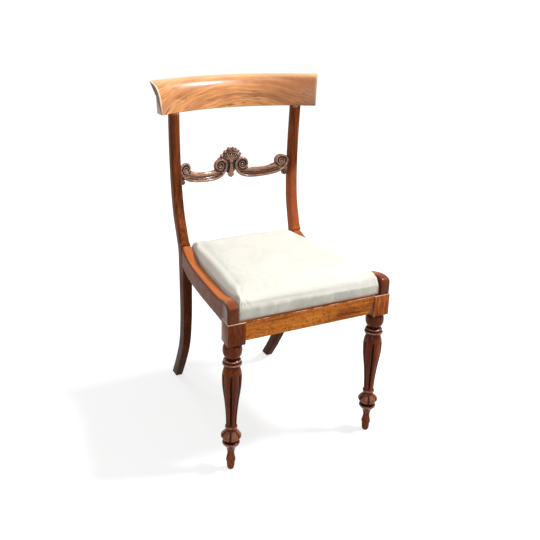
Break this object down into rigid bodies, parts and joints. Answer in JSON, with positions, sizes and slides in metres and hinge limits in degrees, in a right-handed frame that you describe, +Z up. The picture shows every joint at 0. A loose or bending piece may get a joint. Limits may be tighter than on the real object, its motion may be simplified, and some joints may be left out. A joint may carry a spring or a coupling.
{
  "type": "dining chair",
  "caption": "Wooden dining chair with a curved crest rail, a carved scroll middle rail, turned front legs, sabre back legs and a drop-in calico seat.",
  "frame": {"origin": "on the floor, under the middle of the chair's whole width and depth", "axes": "+X to the right when facing the chair's front, +Y from the front towards the back rest, +Z up"},
  "size_m": [0.4802, 0.507, 0.8708],
  "materials": {
    "crest_wood": "polished golden-brown hardwood with dark figure",
    "post_wood": "polished red-brown mahogany",
    "carved_wood": "polished dark mahogany with darkened recesses",
    "rail_wood": "polished brown mahogany, worn lighter on its rounded top",
    "leg_wood": "polished dark red-brown mahogany",
    "veneer": "polished golden veneer with fine cracks",
    "inner_wood": "unpolished beech",
    "seat_frame_wood": "unpolished beech",
    "screw_steel": "dull steel",
    "tack_steel": "blued cut tacks",
    "webbing": "jute webbing",
    "hessian": "coarse hessian",
    "stuffing": "hair stuffing under wadding",
    "calico": "plain unbleached calico"
  },
  "bodies": {
    "frame": {"crest_rail": "crest_wood", "back_post_left": "post_wood", "back_post_right": "post_wood", "mid_rail": "carved_wood", "side_rail_left": "rail_wood", "side_rail_right": "rail_wood", "front_leg_left": "leg_wood", "front_leg_right": "leg_wood", "front_rail": "rail_wood", "front_rail_veneer": "veneer", "back_rail": "rail_wood", "front_brace_left": "inner_wood", "front_brace_right": "inner_wood", "back_brace_left": "inner_wood", "back_brace_right": "inner_wood", "brace_screws": "screw_steel"},
    "seat": {"seat_frame_front": "seat_frame_wood", "seat_frame_back": "seat_frame_wood", "seat_frame_left": "seat_frame_wood", "seat_frame_right": "seat_frame_wood", "webbing_lengthwise": "webbing", "webbing_crosswise": "webbing", "hessian": "hessian", "stuffing": "stuffing", "calico_cover": "calico", "cover_tacks": "tack_steel"}
  },
  "joints": [
    {"name": "seat_lift", "type": "slide", "parent": "frame", "child": "seat", "axis": [0, 0, 1], "range_m": [0, 0.1]}
  ]
}
